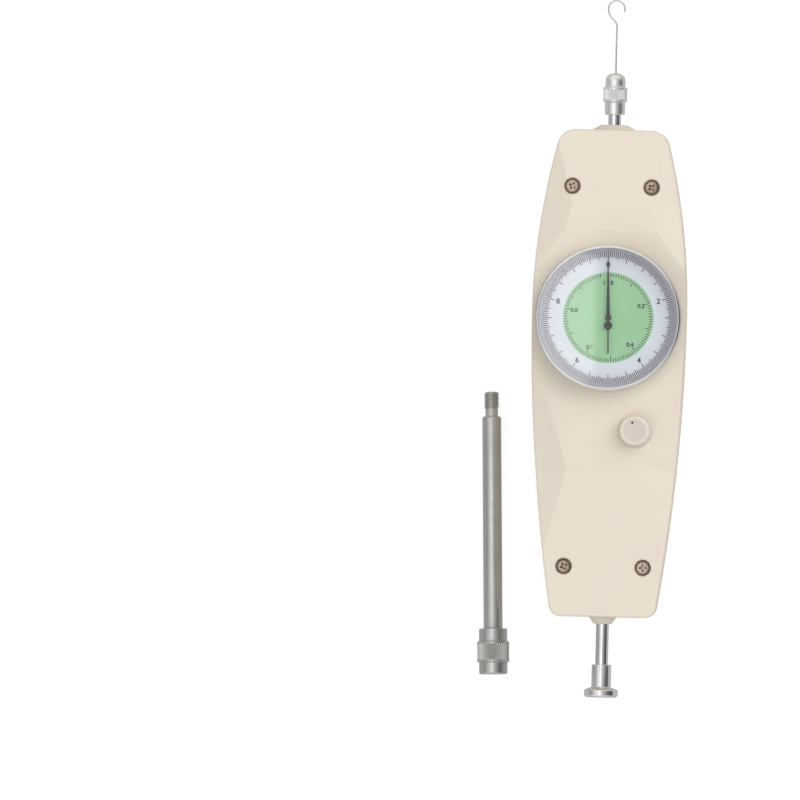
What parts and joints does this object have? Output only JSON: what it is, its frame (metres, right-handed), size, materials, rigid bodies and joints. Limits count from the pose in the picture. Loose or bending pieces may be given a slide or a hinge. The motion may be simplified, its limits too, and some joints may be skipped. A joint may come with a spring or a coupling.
{
  "type": "force gauge",
  "caption": "Handheld dial force gauge with a push-pull rod, hook, flat head, turning bezel and peak-hold knob, and a loose extension rod.",
  "frame": {"origin": "on the flat back face, under the centre of the dial", "axes": "+Y along the measuring rod towards the hook, +Z out of the dial, +X to the right of the dial as it is read"},
  "size_m": [0.0794, 0.2735, 0.0458],
  "materials": {
    "case_paint": "cream paint, fine texture, satin",
    "screw_steel": "dull zinc",
    "bright_steel": "hard chrome, polished",
    "spring_steel": "drawn wire",
    "nickel": "brushed nickel",
    "brass": "turned, satin",
    "dial_print": "white print on a pale ground with a green centre",
    "ring_silver": "satin",
    "glass_clear": "clear, polished",
    "pointer_black": "matt black",
    "knob_beige": "satin, warm tint",
    "dot_dark": "dark enamel",
    "carrier_plastic": "white acetal"
  },
  "bodies": {
    "case": {"front_cover": "case_paint", "back_cover": "case_paint", "case_screws": "screw_steel", "upper_bush": "brass", "lower_bush": "brass", "spring_anchor": "screw_steel", "lower_plate": "brass", "upper_plate": "brass", "plate_spacers": "brass", "movement_screws": "screw_steel", "rack_guide": "carrier_plastic", "hairspring_stud": "brass", "lever_post": "screw_steel"},
    "rod": {"measuring_rod": "bright_steel", "rack": "brass", "rack_screws": "screw_steel", "spring_collar": "screw_steel", "collar_pin": "screw_steel", "measuring_spring": "spring_steel", "stop_collar": "screw_steel", "set_screw": "screw_steel", "hook_holder": "bright_steel", "hook_wire": "spring_steel", "compression_head": "bright_steel"},
    "transfer": {"transfer_arbor": "screw_steel", "rack_pinion": "brass", "transfer_wheel": "brass", "ratchet_wheel": "screw_steel"},
    "pointer": {"centre_arbor": "screw_steel", "centre_pinion": "screw_steel", "hairspring_collet": "brass", "hairspring": "spring_steel", "pointer": "pointer_black"},
    "bezel": {"bezel": "bright_steel", "carrier_ring": "carrier_plastic", "dial_plate": "dial_print", "dial_ring": "ring_silver", "crystal": "glass_clear"},
    "knob": {"peak_knob": "knob_beige", "knob_dot": "dot_dark", "knob_shaft": "screw_steel", "knob_cam": "carrier_plastic", "cam_screw": "screw_steel", "knob_clip": "spring_steel"},
    "lever": {"hold_lever": "brass", "lever_spring": "spring_steel"},
    "extension": {"extension_rod": "nickel", "extension_collar": "nickel"}
  },
  "joints": [
    {"name": "rod_slide", "type": "slide", "parent": "case", "child": "rod", "axis": [0, 1, 0], "range_m": [-0.003, 0.01], "stiffness_N_per_m": 1000, "deforming": ["measuring_spring"]},
    {"name": "transfer_turn", "type": "hinge", "parent": "case", "child": "transfer", "pos_m": [-0.00804, -0.01211, 0], "axis": [0, 0, 1], "range_deg": [-35, 115.5]},
    {"name": "pointer_turn", "type": "hinge", "parent": "case", "child": "pointer", "pos_m": [0, 0, 0], "axis": [0, 0, 1], "range_deg": [-361, 109], "deforming": ["hairspring"]},
    {"name": "bezel_turn", "type": "hinge", "parent": "case", "child": "bezel", "pos_m": [0, 0, 0], "axis": [0, 0, 1], "continuous": true},
    {"name": "knob_turn", "type": "hinge", "parent": "case", "child": "knob", "pos_m": [0.0113, -0.0439, 0], "axis": [0, 0, 1], "range_deg": [-90, 0]},
    {"name": "lever_swing", "type": "hinge", "parent": "case", "child": "lever", "pos_m": [0.00937, -0.01412, 0], "axis": [0, 0, 1], "range_deg": [-4.1, 0.1], "deforming": ["lever_spring"]},
    {"name": "extension_lift", "type": "slide", "parent": "case", "child": "extension", "axis": [0, 0, 1], "range_m": [0, 0.15]}
  ],
  "couplings": [
    {"joint": "transfer_turn", "follows": "rod_slide", "rad_per_m": 200},
    {"joint": "pointer_turn", "follows": "rod_slide", "rad_per_m": -628.57},
    {"joint": "lever_swing", "follows": "knob_turn", "ratio": 0.044444}
  ]
}
